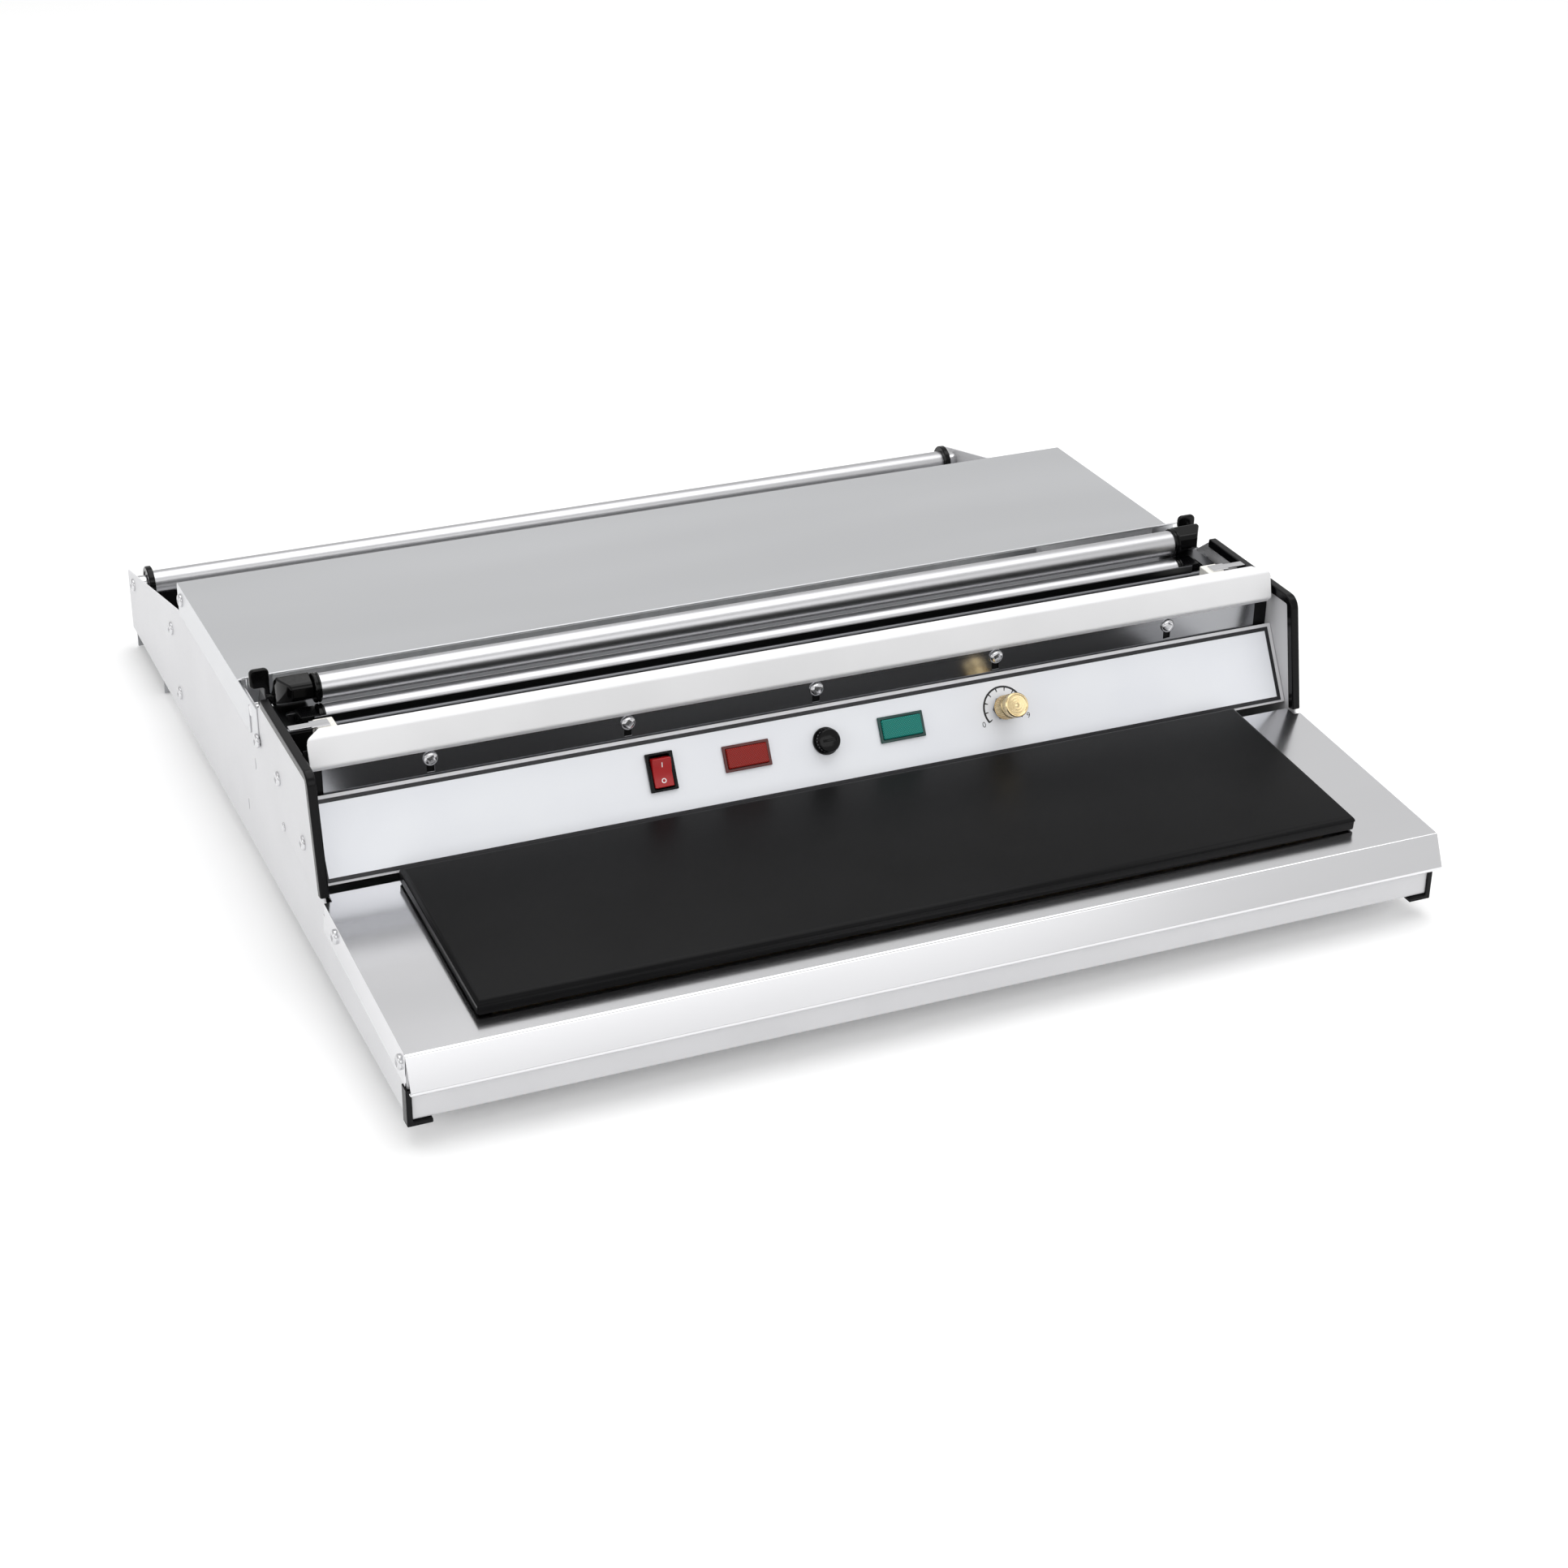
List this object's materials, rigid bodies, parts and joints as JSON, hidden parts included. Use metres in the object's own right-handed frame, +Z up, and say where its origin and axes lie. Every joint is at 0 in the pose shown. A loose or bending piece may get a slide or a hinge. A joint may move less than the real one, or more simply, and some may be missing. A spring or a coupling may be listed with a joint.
{
  "type": "cling film wrapping machine",
  "caption": "Bench-top cling film wrapping machine with a flat heating plate in front, a hot-rod cutter, guide rollers, an upper deck and an open rear bay for the film roll.",
  "frame": {"origin": "bottom centre of the part's box, on the bench between the side plates", "axes": "+X to the operator's right along the rollers, +Y from the heating plate back to the film bay, +Z up"},
  "size_m": [0.6064, 0.6359, 0.1398],
  "materials": {
    "body_steel": "satin powder coat",
    "deck_steel": "fine grain",
    "inner_steel": "plain rolled",
    "tray_steel": "satin powder coat",
    "heat_plate": "matt black non-stick coat",
    "heater_foil": "varnished mica",
    "insulation": "pressed fibre",
    "post_steel": "turned",
    "trim_rubber": "matt",
    "label_film": "printed film",
    "black_plastic": "moulded",
    "rocker_red": "gloss",
    "lens_red": "clear tinted",
    "lens_green": "clear tinted",
    "fuse_glass": "clear",
    "brass_knob": "knurled and polished",
    "cover_steel": "satin powder coat",
    "mirror_steel": "polished",
    "black_steel": "satin black",
    "sleeve": "coated",
    "ceramic": "glazed",
    "terminal_steel": "tinned",
    "roller_metal": "anodised",
    "screw_zinc": "bright zinc",
    "iron_core": "laminated",
    "terminal_plastic": "moulded",
    "foot_rubber": "matt"
  },
  "bodies": {
    "frame": {"side_plate_left": "body_steel", "side_plate_right": "body_steel", "cheek_trim_left": "trim_rubber", "cheek_trim_right": "trim_rubber", "corner_trims": "trim_rubber", "front_panel": "body_steel", "base_pan": "inner_steel", "front_feet": "foot_rubber", "inner_wall": "inner_steel", "cross_rail": "inner_steel", "rear_channel": "inner_steel", "rear_wall": "black_steel", "tray": "tray_steel", "tray_screws": "screw_zinc", "heating_plate": "heat_plate", "heater_mat": "heater_foil", "insulation_pad": "insulation", "heater_posts": "post_steel", "control_panel": "body_steel", "panel_angles": "inner_steel", "panel_label": "label_film", "switch_body": "black_plastic", "power_lamp_body": "black_plastic", "power_lamp_lens": "lens_red", "heater_lamp_body": "black_plastic", "heater_lamp_lens": "lens_green", "fuse_holder": "black_plastic", "fuse_tube": "fuse_glass", "regulator_body": "post_steel", "transformer": "iron_core", "terminal_block": "terminal_plastic", "cable_gland": "black_plastic", "cutter_channel": "black_steel", "guide_rail": "black_steel", "cutter_strip": "mirror_steel", "strip_screws": "screw_zinc", "cutter_cover": "cover_steel", "cutter_rod": "sleeve", "ceramic_holders": "ceramic", "terminal_leaves": "terminal_steel", "guide_plate": "inner_steel", "lower_roller_holders": "black_plastic", "lift_pins": "screw_zinc", "deck": "deck_steel", "deck_screws": "screw_zinc", "roller_pins": "screw_zinc", "side_screws": "screw_zinc"},
    "rocker": {"rocker": "rocker_red"},
    "fuse_cap": {"fuse_cap": "black_plastic"},
    "knob": {"knob": "brass_knob"},
    "lift_arms": {"lift_arm_left": "black_plastic", "lift_arm_right": "black_plastic"},
    "upper_roller": {"upper_roller_tube": "roller_metal", "upper_roller_flanges": "black_plastic"},
    "lower_roller": {"lower_roller_tube": "roller_metal", "lower_roller_flanges": "black_plastic"},
    "rear_roller": {"rear_roller_tube": "roller_metal", "rear_roller_caps": "black_plastic"},
    "bay_roller": {"bay_roller_tube": "roller_metal", "bay_roller_caps": "black_plastic"}
  },
  "joints": [
    {"name": "switch_rock", "type": "hinge", "parent": "frame", "child": "rocker", "pos_m": [-0.0992, -0.13669, 0.08541], "axis": [1, 0, 0], "range_deg": [-20, 0]},
    {"name": "fuse_cap_turn", "type": "hinge", "parent": "frame", "child": "fuse_cap", "pos_m": [0.0009, -0.13703, 0.08561], "axis": [0, -0.866, 0.5], "range_deg": [-90, 0]},
    {"name": "knob_turn", "type": "hinge", "parent": "frame", "child": "knob", "pos_m": [0.114, -0.13703, 0.08561], "axis": [0, 0.866, -0.5], "range_deg": [0, 270]},
    {"name": "arms_lift", "type": "hinge", "parent": "frame", "child": "lift_arms", "pos_m": [0, -0.0226, 0.108], "axis": [-1, 0, 0], "range_deg": [0, 40]},
    {"name": "upper_roller_spin", "type": "hinge", "parent": "lift_arms", "child": "upper_roller", "pos_m": [0, -0.0534, 0.1312], "axis": [1, 0, 0], "continuous": true},
    {"name": "lower_roller_spin", "type": "hinge", "parent": "frame", "child": "lower_roller", "pos_m": [0, -0.0604, 0.1159], "axis": [1, 0, 0], "continuous": true},
    {"name": "rear_roller_spin", "type": "hinge", "parent": "frame", "child": "rear_roller", "pos_m": [0, 0.3014, 0.0495], "axis": [1, 0, 0], "continuous": true},
    {"name": "bay_roller_spin", "type": "hinge", "parent": "frame", "child": "bay_roller", "pos_m": [0, 0.1864, 0.068], "axis": [1, 0, 0], "continuous": true}
  ]
}
